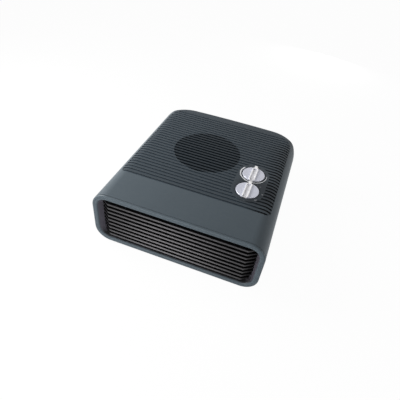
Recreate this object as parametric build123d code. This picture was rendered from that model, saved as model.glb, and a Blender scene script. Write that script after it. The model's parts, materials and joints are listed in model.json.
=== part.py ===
from build123d import *

import math
import os

# A flat ceramic fan heater. The front faces -Y, +X is the viewer's right, and z = 0 is the table.
# All sizes are millimetres.

# Casing
casing_width = 260.0
casing_depth = 302.8
casing_height = 92.4
edge_radius = 24.5
rear_corner_radius = 54.0
rear_arc_radius = 2000.0
rear_edge_radius = 8.0
wall = 2.5
parting_height = 50.0
tongue_height = 4.0
tongue_thickness = 1.5

# Clearances
moulding_gap = 0.3
seat_gap = 0.1
hole_gap = 0.15
turning_gap = 0.05
running_gap = 0.03
air_gap = 0.4
knob_lift = 0.6
overcut = 1.0

# Feet
foot_height = 3.0
foot_radius = 9.0
foot_stem_radius = 3.0
foot_stem_length = 4.0
foot_side_inset = 38.0
foot_front_inset = 34.0
foot_rear_inset = 44.0

# Casing screws and their posts
post_radius = 5.6
screw_radius = 1.7
screw_head_radius = 3.3
screw_head_height = 2.2
screw_grip = 8.0
screw_bite = 10.0
front_post_inset = 50.0
rear_post_inset = 18.0
front_post_gap = 3.4
rear_post_side_inset = 50.0

# Front bezel and outlet grille
lip_width = 7.0
lip_round = 2.2
seam_chamfer = 0.7
bezel_flange = 4.0
mouth_draft = 5.0
mouth_depth = 11.0
spigot_depth = 6.0
sleeve_depth = 18.0
slat_count = 9
slat_pitch = 7.71
slat_thickness = 2.8
slat_depth = 10.0
slat_setback = 1.2
slat_flat_width = 210.0
slat_end_drop = 9.0
grille_ring_overlap = 2.5
grille_ring_thickness = 3.0
grille_rib_count = 5
grille_rib_pitch = 36.0
grille_rib_width = 2.2
grille_rib_setback = 6.5

# Ribbed cover with its air intake
band_depth = 64.0
cover_rear_margin = 21.0
cover_side_margin = 11.7
cover_front_radius = 10.0
cover_rear_radius = 28.0
cover_thickness = 3.2
ledge_width = 8.0
ledge_skirt = 3.0
ledge_thickness = 2.0
rib_pitch = 7.3
groove_width = 3.5
groove_depth = 1.2
groove_side_depth = 2.2
intake_x = -12.6
intake_y = 21.9
intake_radius = 56.7
intake_bar_count = 3
intake_bar_pitch = 29.0
intake_bar_width = 2.4
intake_bar_depth = 2.5

# Knobs
control_x = 75.0
control_setback = 40.5
knob_spacing = 42.7
knob_radius = 18.0
knob_rise = 1.0
knob_edge_round = 0.8
well_depth = 1.9
well_gap = 1.4
grip_width = 9.5
grip_height = 2.0
grip_rear_reach = 13.5
grip_round = 0.5
grip_channel_width = 5.9
grip_channel_depth = 2.2
grip_notch_length = 5.0
pointer_width = 5.0
pointer_reach = 2.6
pointer_gap = 0.4
knob_boss_radius = 5.5
knob_wall = 1.4
knob_patch_margin = 7.4

# Controls under the cover
control_drop = 9.0
bracket_thickness = 1.6
bracket_margin = 3.5
bracket_post_radius = 3.4
bracket_screw_radius = 1.2
bracket_screw_head_radius = 2.4
bracket_screw_head_height = 1.6
bracket_screw_bite = 5.0
bush_radius = 4.5
nut_width = 13.0
nut_height = 3.0
spindle_radius = 3.0
spindle_flat = 1.0
spindle_socket = 5.0
thermostat_radius = 14.0
thermostat_height = 16.0
switch_width = 28.0
switch_height = 20.0
tab_width = 6.3
tab_thickness = 0.8
tab_length = 8.0
tab_pitch = 9.0

# Blower
motor_bay_height = 36.5
scroll_wall = 2.0
scroll_radius = 54.0
scroll_growth = 8.0
tongue_angle = 65.0
outlet_setback = 82.4
outlet_right = 60.0
ear_radius = 6.0
ear_thickness = 4.0
ear_overlap = 2.0
ear_screw_bite = 10.0
inlet_radius = 36.0
inlet_plate_thickness = 2.0
bell_height = 5.0
bell_thickness = 1.6
bell_clearance = 0.8

# Impeller
impeller_radius = 46.0
blade_count = 30
blade_length = 9.0
blade_thickness = 1.1
blade_curve_radius = 10.0
impeller_floor_gap = 3.0
impeller_top_gap = 2.5
impeller_disc_thickness = 2.0
impeller_ring_width = 3.0
impeller_ring_height = 2.5
impeller_hub_radius = 8.0
impeller_hub_height = 18.0
shaft_hole_radius = 10.0

# Motor
shaft_radius = 2.5
shaft_tail = 1.0
rotor_radius = 15.0
stator_width = 60.0
stator_front = 22.0
stator_limb = 12.0
stator_window = 10.0
stator_arm = 12.0
stator_thickness = 16.0
stator_drop = 8.0
coil_build = 5.5
coil_length = 32.0
bracket_plate = 2.0
bracket_width = 16.0
motor_foot_drop = 5.0
bearing_radius = 6.0
bearing_length = 6.0
motor_screw_radius = 1.6
motor_screw_head_radius = 3.0
motor_screw_head_height = 2.0

# Heating element
element_width = 150.0
element_shift = -16.0
element_depth = 20.0
element_setback = 32.0
frame_wall = 5.0
fin_rows = 4
fin_height = 11.0
fin_plate = 0.6
fin_pitch = 10.0
stone_length = 27.0
stone_thickness = 3.0
stone_pitch = 29.0
duct_wall = 2.0
support_width = 4.0
cutout_radius = 8.0
cutout_height = 5.0
fuse_length = 14.0
fuse_radius = 2.5
safety_spacing = 40.0

# Supply entry
gland_x = 58.0
gland_height = 35.0
gland_flange_radius = 10.0
gland_flange_thickness = 2.0
gland_neck_radius = 6.4
gland_bore_radius = 3.6
gland_boss_radius = 14.0
gland_boss_depth = 4.5
gland_nut_radius = 9.0
gland_nut_thickness = 3.0
clamp_setback = 34.0
clamp_width = 10.0
clamp_thickness = 2.0
clamp_span = 22.0
clamp_boss_radius = 4.0
clamp_arch_radius = 4.4
clamp_screw_radius = 1.5
clamp_screw_head_radius = 2.9
clamp_screw_head_height = 1.8
clamp_screw_bite = 8.0
block_width = 32.0
block_depth = 18.0
block_height = 15.0
block_ways = 3
block_way_radius = 2.6
block_setback = 70.0

# Places worked out from the sizes above
front_y = -casing_depth / 2
rear_y = casing_depth / 2
side_x = casing_width / 2
bottom_z = foot_height
floor_z = bottom_z + wall
middle_z = bottom_z + casing_height / 2
parting_z = bottom_z + parting_height
top_z = bottom_z + casing_height
cover_under_z = top_z - cover_thickness
cover_front_y = front_y + band_depth
cover_rear_y = rear_y - cover_rear_margin
mouth_inset = lip_width + mouth_draft
mouth_rear_y = front_y + mouth_depth
flange_rear_y = front_y + bezel_flange
sleeve_rear_y = front_y + sleeve_depth
ring_rear_y = sleeve_rear_y + grille_ring_thickness
selector_y = cover_front_y + control_setback
thermostat_y = selector_y + knob_spacing
bracket_top_z = cover_under_z - control_drop
bracket_under_z = bracket_top_z - bracket_thickness
knob_under_z = top_z - well_depth + knob_lift
knob_top_z = top_z + knob_rise
grip_top_z = knob_top_z + grip_height
scroll_under_z = floor_z + motor_bay_height
scroll_floor_z = scroll_under_z + scroll_wall
bell_top_z = cover_under_z - intake_bar_depth - bell_clearance
scroll_top_z = bell_top_z - bell_height
outlet_y = front_y + outlet_setback
scroll_left_x = intake_x - scroll_radius - 3 * scroll_growth
outlet_right_x = intake_x + outlet_right
impeller_under_z = scroll_floor_z + impeller_floor_gap
impeller_top_z = scroll_top_z - impeller_top_gap
stator_top_z = scroll_under_z - stator_drop
stator_under_z = stator_top_z - stator_thickness
element_front_y = front_y + element_setback
element_rear_y = element_front_y + element_depth
element_left_x = element_shift - element_width / 2
element_right_x = element_shift + element_width / 2
element_reach = max(-element_left_x, element_right_x) + frame_wall
front_post_x = element_reach + front_post_gap + post_radius
stack_height = fin_rows * fin_height + (fin_rows - 1) * stone_thickness
element_under_z = middle_z - stack_height / 2
element_top_z = middle_z + stack_height / 2
gland_z = bottom_z + gland_height
gland_inner_y = rear_y - wall - gland_boss_depth
clamp_y = rear_y - clamp_setback
block_y = rear_y - block_setback
safety_y = (element_front_y + element_rear_y) / 2
safety_z = element_top_z + frame_wall
far = casing_width + casing_depth


def block(x0, x1, y0, y1, z0, z1):
    """A plain block between two corners."""
    return Pos((x0 + x1) / 2, (y0 + y1) / 2, (z0 + z1) / 2) * Box(x1 - x0, y1 - y0, z1 - z0)


def rod(x, y, z0, z1, radius):
    """An upright round bar."""
    return Pos(x, y, (z0 + z1) / 2) * Cylinder(radius, z1 - z0)


def level_rod(x, z, y0, y1, radius):
    """A round bar along Y."""
    return Pos(x, (y0 + y1) / 2, z) * Rot(90, 0, 0) * Cylinder(radius, y1 - y0)


def prism(face, z0, z1):
    """A plan outline raised from one height to another."""
    return extrude(Pos(0, 0, z0) * face, z1 - z0)


def row(count, pitch, middle=0.0):
    """Evenly spaced places about a middle."""
    return [middle + (k - (count - 1) / 2) * pitch for k in range(count)]


def front_outline(inset, y):
    """The casing's front outline at a depth, moved inwards by an inset."""
    outline = RectangleRounded(casing_width - 2 * inset, casing_height - 2 * inset, edge_radius - inset)
    return Plane((0, y, middle_z), x_dir=(1, 0, 0), z_dir=(0, 1, 0)) * outline


def front_slice(inset, y0, y1):
    """A slice of the casing's front outline, moved inwards by an inset."""
    return extrude(front_outline(inset, y0), y1 - y0)


def casing_plan(inset):
    """The casing's plan, moved inwards by an inset: straight sides, rounded corners and a curved rear."""
    half = side_x - inset
    arc_radius = rear_arc_radius - inset
    corner_y = rear_y - rear_arc_radius + math.sqrt(arc_radius**2 - half**2)
    start_y = front_y - edge_radius
    edges = [
        Line((-half, corner_y), (-half, start_y)),
        Line((-half, start_y), (half, start_y)),
        Line((half, start_y), (half, corner_y)),
        ThreePointArc((half, corner_y), (0, rear_y - inset), (-half, corner_y)),
    ]
    outline = make_face(edges)
    return fillet(outline.vertices().group_by(Axis.Y)[-1], rear_corner_radius - inset)


def casing_form(inset):
    """The rounded casing form moved inwards by an inset, and drawn out as far past the front."""
    form = prism(casing_plan(inset), bottom_z + inset, top_z - inset)
    rims = ShapeList()
    for face in form.faces().filter_by(Axis.Z):
        rims += face.edges().sort_by(Axis.Y)[1:]
    form = fillet(rims, rear_edge_radius - inset)
    return form & front_slice(inset, front_y - inset, rear_y)


def mouth_form(inset, rear):
    """The outlet's mouth: it narrows behind the lip, then runs straight. An inset moves it inwards."""
    start = front_outline(lip_width + inset, front_y)
    end = front_outline(mouth_inset + inset, mouth_rear_y)
    return loft([start, end], ruled=True) + front_slice(mouth_inset + inset, mouth_rear_y, rear)


def cover_prism(grow):
    """The ribbed cover's plan outline, grown on all sides, over the casing's top roundings."""
    width = casing_width - 2 * cover_side_margin + 2 * grow
    length = cover_rear_y - cover_front_y + 2 * grow
    outline = Rectangle(width, length)
    outline = fillet(outline.vertices().group_by(Axis.Y)[0], cover_front_radius + grow)
    outline = fillet(outline.vertices().group_by(Axis.Y)[-1], cover_rear_radius + grow)
    return prism(Pos(0, (cover_front_y + cover_rear_y) / 2) * outline, top_z - edge_radius, top_z + wall)


def screw(x, y, seat_z, shank, radius, head_radius, head_height, downwards):
    """A pan-head screw whose head rests at a seat height and whose shank points down or up."""
    if downwards:
        head = rod(x, y, seat_z, seat_z + head_height, head_radius)
        return head + rod(x, y, seat_z - shank, seat_z, radius)
    head = rod(x, y, seat_z - head_height, seat_z, head_radius)
    return head + rod(x, y, seat_z, seat_z + shank, radius)


def corner_posts():
    """Places of the four casing screws."""
    places = []
    for side in (-1, 1):
        places.append((side * front_post_x, front_y + front_post_inset))
        places.append((side * (side_x - rear_post_side_inset), rear_y - rear_post_inset))
    return places


def foot_places():
    """Places of the four feet."""
    places = []
    for side in (-1, 1):
        for y in (front_y + foot_front_inset, rear_y - foot_rear_inset):
            places.append((side * (side_x - foot_side_inset), y))
    return places


def scroll_ears():
    """Places of the three ears that carry the blower."""
    reach = scroll_wall + ear_radius - ear_overlap
    right = (intake_x + scroll_radius + reach, intake_y)
    rear = (intake_x - scroll_growth, intake_y + scroll_radius + scroll_growth + reach)
    left = (scroll_left_x - reach, intake_y - scroll_growth)
    return [right, rear, left]


def clamp_screw_places():
    """Places of the two cord clamp screws."""
    return [(x, clamp_y) for x in row(2, clamp_span, gland_x)]


def bracket_places():
    """Places of the four control bracket screws."""
    half = knob_radius
    places = []
    for x in (control_x - half, control_x + half):
        for y in (selector_y - half, thermostat_y + half):
            places.append((x, y))
    return places


def upper_casing():
    """Upper moulding: front band, sides, rear and the ledge that carries the ribbed cover."""
    ledge_inset = cover_thickness + seat_gap + ledge_thickness
    ledge = cover_prism(ledge_skirt) - cover_prism(-ledge_width)
    ledge = ledge & (casing_form(wall / 2) - casing_form(ledge_inset))
    posts = [rod(x, y, parting_z, top_z, post_radius) for x, y in corner_posts()]
    posts = Part() + posts & casing_form(wall / 2)
    body = casing_form(0) - casing_form(wall) + ledge + posts
    body = body - (cover_prism(moulding_gap) - casing_form(cover_thickness + seat_gap))
    body = body & block(-far, far, flange_rear_y, far, parting_z, far)
    for x, y in corner_posts():
        body = body - rod(x, y, parting_z, parting_z + screw_bite + overcut, screw_radius)
    return body


def base_tray():
    """Lower moulding: floor, posts, seats for the blower and the element, and the supply entry."""
    body = casing_form(0) - casing_form(wall)
    body = body & block(-far, far, flange_rear_y, far, bottom_z, parting_z)
    tongue_inset = wall + moulding_gap
    tongue_front = ring_rear_y + moulding_gap
    inner = casing_form(tongue_inset + tongue_thickness)
    root = casing_form(wall / 2) - inner
    root = root & block(-far, far, tongue_front, far, parting_z - tongue_height, parting_z)
    tongue = casing_form(tongue_inset) - inner
    tongue = tongue & block(-far, far, tongue_front, far, parting_z - tongue_height,
                            parting_z + tongue_height)
    body = body + root + tongue
    lining = casing_form(wall / 2)
    posts = [rod(x, y, bottom_z, parting_z, post_radius) for x, y in corner_posts()]
    posts += [rod(x, y, bottom_z, scroll_under_z, ear_radius) for x, y in scroll_ears()]
    posts += [rod(x, y, bottom_z, gland_z, clamp_boss_radius) for x, y in clamp_screw_places()]
    for x in (element_left_x + element_width / 4, element_right_x - element_width / 4):
        posts.append(block(x - support_width / 2, x + support_width / 2, element_front_y, element_rear_y,
                           bottom_z, element_under_z - frame_wall))
    posts.append(block(gland_x - clamp_span / 2, gland_x + clamp_span / 2, clamp_y - clamp_width / 2,
                       clamp_y + clamp_width / 2, bottom_z, gland_z - clamp_arch_radius))
    posts.append(level_rod(gland_x, gland_z, gland_inner_y, rear_y, gland_boss_radius))
    body = body + (Part() + posts & lining)
    for x, y in corner_posts():
        body = body - rod(x, y, bottom_z - overcut, parting_z + overcut, screw_radius + hole_gap)
        body = body - rod(x, y, bottom_z - overcut, parting_z - screw_grip, screw_head_radius + moulding_gap)
    for x, y in scroll_ears():
        hole_floor = scroll_under_z - ear_screw_bite - overcut
        body = body - rod(x, y, hole_floor, scroll_under_z + overcut, screw_radius)
    for x, y in clamp_screw_places():
        body = body - rod(x, y, gland_z - clamp_screw_bite - overcut, gland_z + overcut, clamp_screw_radius)
    for x, y in foot_places():
        body = body - rod(x, y, bottom_z - overcut, floor_z + overcut, foot_stem_radius + hole_gap)
    pocket_y = rear_y - gland_flange_thickness
    body = body - level_rod(gland_x, gland_z, pocket_y, rear_y + overcut, gland_flange_radius + hole_gap)
    return body - level_rod(gland_x, gland_z, gland_inner_y - overcut, rear_y, gland_neck_radius + hole_gap)


def feet():
    """Four rubber feet, each with a stem pushed through the floor."""
    pieces = []
    for x, y in foot_places():
        foot = rod(x, y, 0, foot_height, foot_radius)
        foot = fillet(foot.edges().sort_by(Axis.Z)[0], foot_height / 4)
        pieces.append(foot + rod(x, y, foot_height, foot_height + foot_stem_length, foot_stem_radius))
    return Compound(pieces)


def casing_screws():
    """Four screws that pull the two casing mouldings together from below."""
    seat = parting_z - screw_grip
    return Compound([screw(x, y, seat, screw_grip + screw_bite, screw_radius, screw_head_radius,
                           screw_head_height, False) for x, y in corner_posts()])


def front_bezel():
    """Front lip with the spigot that centres it in the casing and the sleeve that lines its mouth."""
    flange = front_slice(0, front_y, flange_rear_y)
    flange = fillet(flange.faces().sort_by(Axis.Y)[0].edges(), lip_round)
    flange = chamfer(flange.faces().sort_by(Axis.Y)[-1].edges(), seam_chamfer)
    body = flange + front_slice(wall + moulding_gap, flange_rear_y, flange_rear_y + spigot_depth)
    body = body + mouth_form(-wall, sleeve_rear_y) - mouth_form(0, ring_rear_y)
    mouth = body.faces().sort_by(Axis.Y)[0].inner_wires()[0].edges()
    return fillet(mouth, lip_round)


def outlet_grille():
    """Level slats whose ends fold back to the sleeve, on a ring behind the bezel."""
    reach = side_x - mouth_inset
    slat_front = front_y + slat_setback
    fold = slat_flat_width / 2
    front_edge = [(-reach, slat_front + slat_end_drop), (-fold, slat_front), (fold, slat_front),
                  (reach, slat_front + slat_end_drop)]
    rear_edge = [(x, y + slat_depth) for x, y in reversed(front_edge)]
    outline = make_face(Polyline(*front_edge, *rear_edge, close=True))
    slats = [prism(outline, z - slat_thickness / 2, z + slat_thickness / 2)
             for z in row(slat_count, slat_pitch, middle_z)]
    ribs = [block(x - grille_rib_width / 2, x + grille_rib_width / 2, slat_front + grille_rib_setback,
                  ring_rear_y, bottom_z, top_z) for x in row(grille_rib_count, grille_rib_pitch)]
    body = Part() + slats + ribs
    body = body & mouth_form(moulding_gap, ring_rear_y)
    ring = front_slice(wall + moulding_gap, sleeve_rear_y, ring_rear_y)
    opening = mouth_inset + grille_ring_overlap
    ring = ring - front_slice(opening, sleeve_rear_y - overcut, ring_rear_y + overcut)
    return body + ring


def ribbed_cover():
    """Inset top cover: grooves over its roundings, through slots in the intake, a smooth knob patch."""
    body = cover_prism(0) & (casing_form(0) - casing_form(cover_thickness))
    count = int((cover_rear_y - cover_front_y - groove_width) // rib_pitch) + 1
    starts = [cover_front_y + k * rib_pitch for k in range(count)]
    bands = [block(-far, far, y, y + groove_width, middle_z, top_z + wall) for y in starts]
    bands = Part() + bands
    patch_outline = SlotCenterToCenter(knob_spacing, 2 * (knob_radius + knob_patch_margin))
    patch = Pos(control_x, thermostat_y - knob_spacing / 2) * Rot(0, 0, 90) * patch_outline
    groove_floor = Pos(0, 0, groove_side_depth - groove_depth) * casing_form(groove_side_depth)
    grooves = bands - groove_floor - prism(patch, middle_z, top_z + 2 * wall)
    slots = bands & rod(intake_x, intake_y, middle_z, top_z + wall, intake_radius)
    body = body - grooves - slots
    bars = []
    for x in row(intake_bar_count, intake_bar_pitch, intake_x):
        half_chord = math.sqrt(intake_radius**2 - (x - intake_x) ** 2) + groove_width
        bars.append(block(x - intake_bar_width / 2, x + intake_bar_width / 2, intake_y - half_chord,
                          intake_y + half_chord, cover_under_z - intake_bar_depth, cover_under_z))
    posts = [rod(x, y, bracket_top_z, cover_under_z, bracket_post_radius) for x, y in bracket_places()]
    body = body + bars + posts
    for x, y in bracket_places():
        hole_top = bracket_top_z + bracket_screw_bite + overcut
        body = body - rod(x, y, bracket_top_z - overcut, hole_top, bracket_screw_radius)
    for y in (thermostat_y, selector_y):
        body = body - rod(control_x, y, bracket_top_z, top_z + overcut, knob_boss_radius + moulding_gap)
        body = body - rod(control_x, y, top_z - well_depth, top_z + overcut, knob_radius + well_gap)
    return body


def grip_outline(y):
    """Plan of a knob's grip: parallel sides, then shoulders that narrow to the pointer."""
    half = grip_width / 2
    tip = pointer_width / 2
    front = y - math.sqrt(knob_radius**2 - half**2)
    shoulder = y + grip_rear_reach
    neck = shoulder + half - tip
    rear = y + knob_radius + pointer_reach
    right_side = [(half, front), (half, shoulder), (tip, neck), (tip, rear)]
    left_side = [(-x, place) for x, place in reversed(right_side)]
    return Pos(control_x, 0) * make_face(Polyline(*right_side, *left_side, close=True))


def knob(y):
    """A flat knob in its well, with a grip of two ridges whose pointer faces the rear at rest."""
    disc = rod(control_x, y, knob_under_z, knob_top_z, knob_radius)
    disc = fillet(disc.edges().sort_by(Axis.Z)[-1], knob_edge_round)
    half = grip_channel_width / 2
    channel = block(control_x - half, control_x + half, y - far, y + grip_rear_reach,
                    grip_top_z - grip_channel_depth, grip_top_z + overcut)
    notch = block(control_x - half, control_x + half, y - far, y - knob_radius + grip_notch_length,
                  knob_under_z - overcut, grip_top_z)
    grip = prism(grip_outline(y), top_z + pointer_gap, grip_top_z) - channel
    grip = fillet(grip.faces().sort_by(Axis.Z)[-1].edges(), grip_round)
    body = disc + grip - channel - notch
    body = body - rod(control_x, y, knob_under_z - overcut, knob_top_z - knob_wall, knob_radius - knob_wall)
    boss_floor = bracket_top_z + nut_height + knob_lift
    boss = rod(control_x, y, boss_floor, knob_top_z - knob_wall / 2, knob_boss_radius)
    return body + boss - spindle(y, boss_floor - overcut, turning_gap)


def spindle(y, z0, grow):
    """A round control spindle with one flat, up to the inside of the knob."""
    z1 = knob_top_z - knob_wall + grow
    bar = rod(control_x, y, z0, z1, spindle_radius + grow)
    flat_x = control_x + spindle_radius - spindle_flat + grow
    flat_floor = bracket_top_z + nut_height + knob_lift
    return bar - block(flat_x, control_x + far, y - far, y + far, flat_floor, z1 + overcut)


def control_spindle(y):
    """The spindle of one control, from its socket in the body to the knob."""
    return spindle(y, bracket_under_z - spindle_socket, 0)


def bushed_body(y, case, height):
    """A control body under the bracket: its case, the bush through the bracket and its tabs."""
    bush = rod(control_x, y, bracket_under_z, bracket_top_z + nut_height, bush_radius)
    case_floor = bracket_under_z - height
    tabs = [block(x - tab_thickness / 2, x + tab_thickness / 2, y - tab_width / 2, y + tab_width / 2,
                  case_floor - tab_length, case_floor) for x in row(2, tab_pitch, control_x)]
    body = case + bush + tabs
    socket_floor = bracket_under_z - spindle_socket - seat_gap
    return body - rod(control_x, y, socket_floor, bracket_top_z + far, spindle_radius + turning_gap)


def thermostat_body():
    """Round bimetal thermostat."""
    case = rod(control_x, thermostat_y, bracket_under_z - thermostat_height, bracket_under_z,
               thermostat_radius)
    return bushed_body(thermostat_y, case, thermostat_height)


def rotary_switch_body():
    """Square rotary switch for off, fan and the two heat steps."""
    half = switch_width / 2
    case = block(control_x - half, control_x + half, selector_y - half, selector_y + half,
                 bracket_under_z - switch_height, bracket_under_z)
    return bushed_body(selector_y, case, switch_height)


def control_nuts():
    """Hexagon nuts that hold the two control bodies on their bracket."""
    pieces = []
    for y in (thermostat_y, selector_y):
        outline = RegularPolygon(nut_width / 2, 6, major_radius=False) - Circle(bush_radius)
        pieces.append(prism(Pos(control_x, y) * outline, bracket_top_z, bracket_top_z + nut_height))
    return Compound(pieces)


def control_bracket():
    """Steel plate under the cover that carries the thermostat and the switch."""
    half = knob_radius + bracket_margin
    body = block(control_x - half, control_x + half, selector_y - half, thermostat_y + half,
                 bracket_under_z, bracket_top_z)
    for y in (thermostat_y, selector_y):
        body = body - rod(control_x, y, bracket_under_z - overcut, bracket_top_z + overcut, bush_radius)
    for x, y in bracket_places():
        hole = bracket_screw_radius + hole_gap
        body = body - rod(x, y, bracket_under_z - overcut, bracket_top_z + overcut, hole)
    return body


def bracket_screws():
    """Four screws from the bracket up into the cover's posts."""
    shank = bracket_thickness + bracket_screw_bite
    return Compound([screw(x, y, bracket_under_z, shank, bracket_screw_radius, bracket_screw_head_radius,
                           bracket_screw_head_height, False) for x, y in bracket_places()])


def scroll_outline():
    """Plan of the blower's air space: three quarter arcs that grow, then the widening outlet."""
    middle = scroll_radius + scroll_growth
    large = middle + scroll_growth
    angle = math.radians(-tongue_angle)
    tongue = (intake_x + scroll_radius * math.cos(angle), intake_y + scroll_radius * math.sin(angle))
    step_x = intake_x - scroll_growth
    step_y = intake_y - scroll_growth
    edges = [
        CenterArc((intake_x, intake_y), scroll_radius, -tongue_angle, tongue_angle),
        CenterArc((step_x, intake_y), middle, 0, 90),
        CenterArc((step_x, step_y), large, 90, 90),
        Line((step_x - large, step_y), (step_x - large, outlet_y)),
        Line((step_x - large, outlet_y), (outlet_right_x, outlet_y)),
        Line((outlet_right_x, outlet_y), tongue),
    ]
    return make_face(edges)


def outside_outlet():
    """Everything in front of the blower's outlet."""
    return block(-far, far, -far, outlet_y, 0, far)


def blower_scroll():
    """Spiral housing with its floor, its widening outlet and three ears."""
    air = scroll_outline()
    shell = offset(air, amount=scroll_wall)
    body = prism(shell, scroll_under_z, scroll_top_z) - prism(air, scroll_floor_z, scroll_top_z + overcut)
    body = body - outside_outlet()
    ears = [rod(x, y, scroll_under_z, scroll_under_z + ear_thickness, ear_radius) for x, y in scroll_ears()]
    inside = prism(air, scroll_floor_z, scroll_top_z)
    body = body + [ear - inside for ear in ears]
    for x, y in scroll_ears():
        body = body - rod(x, y, scroll_under_z - overcut, scroll_top_z, screw_radius + hole_gap)
    body = body - rod(intake_x, intake_y, scroll_under_z - overcut, scroll_floor_z + overcut,
                      shaft_hole_radius)
    for x in motor_screw_row():
        hole = motor_screw_radius + hole_gap
        body = body - rod(x, intake_y, scroll_under_z - overcut, scroll_floor_z + overcut, hole)
    return body


def blower_screws():
    """Three screws that hold the blower on the base tray's posts."""
    seat = scroll_under_z + ear_thickness
    return Compound([screw(x, y, seat, ear_thickness + ear_screw_bite, screw_radius, screw_head_radius,
                           screw_head_height, True) for x, y in scroll_ears()])


def blower_inlet_plate():
    """Lid of the blower with a bell mouth under the intake."""
    outline = offset(scroll_outline(), amount=scroll_wall)
    lid = prism(outline, scroll_top_z, scroll_top_z + inlet_plate_thickness)
    lid = lid - outside_outlet()
    lid = lid - rod(intake_x, intake_y, scroll_top_z - overcut, top_z, inlet_radius + bell_thickness / 2)
    quarter = Pos(-bell_height / 2, bell_height / 2) * Rectangle(bell_height, bell_height)
    section = (Circle(bell_height) - Circle(bell_height - bell_thickness)) & quarter
    section = Plane.XZ * (Pos(inlet_radius + bell_height, scroll_top_z) * section)
    return lid + Pos(intake_x, intake_y, 0) * revolve(section, Axis.Z)


def impeller():
    """Centrifugal wheel: a disc with its hub, forward curved blades and a top ring."""
    inner_radius = impeller_radius - blade_length
    annulus = Circle(impeller_radius) - Circle(inner_radius)
    curl = Circle(blade_curve_radius + blade_thickness / 2) - Circle(blade_curve_radius - blade_thickness / 2)
    centre = (impeller_radius + inner_radius) / 2
    upper_side = Pos(centre, impeller_radius) * Rectangle(2 * impeller_radius, 2 * impeller_radius)
    blade = (Pos(centre - blade_curve_radius / 2, 0) * curl) & annulus & upper_side
    blades = Sketch() + [Rot(0, 0, 360 * k / blade_count) * blade for k in range(blade_count)]
    disc_top = impeller_under_z + impeller_disc_thickness
    ring_floor = impeller_top_z - impeller_ring_height
    wheel = prism(blades, disc_top - impeller_disc_thickness / 2, ring_floor + impeller_ring_height / 2)
    ring = Circle(impeller_radius) - Circle(impeller_radius - impeller_ring_width)
    wheel = wheel + prism(ring, ring_floor, impeller_top_z)
    wheel = wheel + rod(0, 0, impeller_under_z, disc_top, impeller_radius)
    wheel = wheel + rod(0, 0, impeller_under_z, impeller_under_z + impeller_hub_height, impeller_hub_radius)
    wheel = wheel - rod(0, 0, impeller_under_z - overcut, impeller_top_z, shaft_radius)
    return Pos(intake_x, intake_y, 0) * wheel


def motor_screw_row():
    """Places across the motor of its two long screws."""
    return row(2, stator_width - stator_arm, intake_x)


def motor_shaft():
    """Motor shaft, up through the blower floor into the impeller's hub."""
    return rod(intake_x, intake_y, stator_under_z - motor_foot_drop - bracket_plate - shaft_tail,
               impeller_under_z + impeller_hub_height, shaft_radius)


def motor_rotor():
    """Squirrel-cage rotor on the shaft."""
    body = rod(intake_x, intake_y, stator_under_z, stator_top_z, rotor_radius)
    return body - rod(intake_x, intake_y, stator_under_z - overcut, stator_top_z + overcut, shaft_radius)


def motor_stator():
    """Laminated core: the poles round the rotor, two arms and the limb that carries the coil."""
    half = stator_width / 2
    pole_rear = intake_y + stator_front
    limb_front = pole_rear + stator_window
    body = block(intake_x - half, intake_x + half, intake_y - stator_front, limb_front + stator_limb,
                 stator_under_z, stator_top_z)
    window = block(intake_x - half + stator_arm, intake_x + half - stator_arm, pole_rear, limb_front,
                   stator_under_z - overcut, stator_top_z + overcut)
    bore = rod(intake_x, intake_y, stator_under_z - overcut, stator_top_z + overcut, rotor_radius + air_gap)
    body = body - window - bore
    for x in motor_screw_row():
        hole = motor_screw_radius + hole_gap
        body = body - rod(x, intake_y, stator_under_z - overcut, stator_top_z + overcut, hole)
    return body


def motor_coil():
    """Coil wound round the core's limb."""
    limb_front = intake_y + stator_front + stator_window
    limb_rear = limb_front + stator_limb
    half = coil_length / 2
    body = block(intake_x - half, intake_x + half, limb_front - coil_build, limb_rear + coil_build,
                 stator_under_z - coil_build, stator_top_z + coil_build)
    body = fillet(body.edges().filter_by(Axis.X), coil_build / 2)
    return body - block(intake_x - far, intake_x + far, limb_front - seat_gap, limb_rear + seat_gap,
                        stator_under_z - seat_gap, stator_top_z + seat_gap)


def motor_bridge(foot_z, plate_z, outwards):
    """A bearing bridge across the motor: two feet on the core and a plate that holds the bearing."""
    half = stator_width / 2
    low, high = sorted((plate_z, plate_z + outwards * bracket_plate))
    depth = bracket_width / 2
    plate = block(intake_x - half, intake_x + half, intake_y - depth, intake_y + depth, low, high)
    low, high = sorted((foot_z, plate_z))
    body = plate
    for x in motor_screw_row():
        body = body + rod(x, intake_y, low, high, stator_arm / 2)
    for x in motor_screw_row():
        hole = motor_screw_radius + hole_gap
        body = body - rod(x, intake_y, 0, top_z, hole)
    return body - rod(intake_x, intake_y, 0, top_z, bearing_radius)


def motor_upper_bracket():
    """Upper bearing bridge, screwed against the blower floor."""
    return motor_bridge(stator_top_z, scroll_under_z - bracket_plate, 1)


def motor_lower_bracket():
    """Lower bearing bridge."""
    return motor_bridge(stator_under_z, stator_under_z - motor_foot_drop, -1)


def motor_bearings():
    """Two sintered bearings, one in each bridge."""
    pieces = []
    upper_top = scroll_under_z
    lower_floor = stator_under_z - motor_foot_drop - bracket_plate
    for low in (upper_top - bearing_length, lower_floor):
        ring = rod(intake_x, intake_y, low, low + bearing_length, bearing_radius)
        pieces.append(ring - rod(intake_x, intake_y, 0, top_z, shaft_radius + running_gap))
    return Compound(pieces)


def motor_screws():
    """Two long screws through the motor and the blower floor."""
    head_seat = scroll_floor_z
    shank = head_seat - (stator_under_z - motor_foot_drop - bracket_plate)
    return Compound([screw(x, intake_y, head_seat, shank, motor_screw_radius, motor_screw_head_radius,
                           motor_screw_head_height, True) for x in motor_screw_row()])


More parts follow.
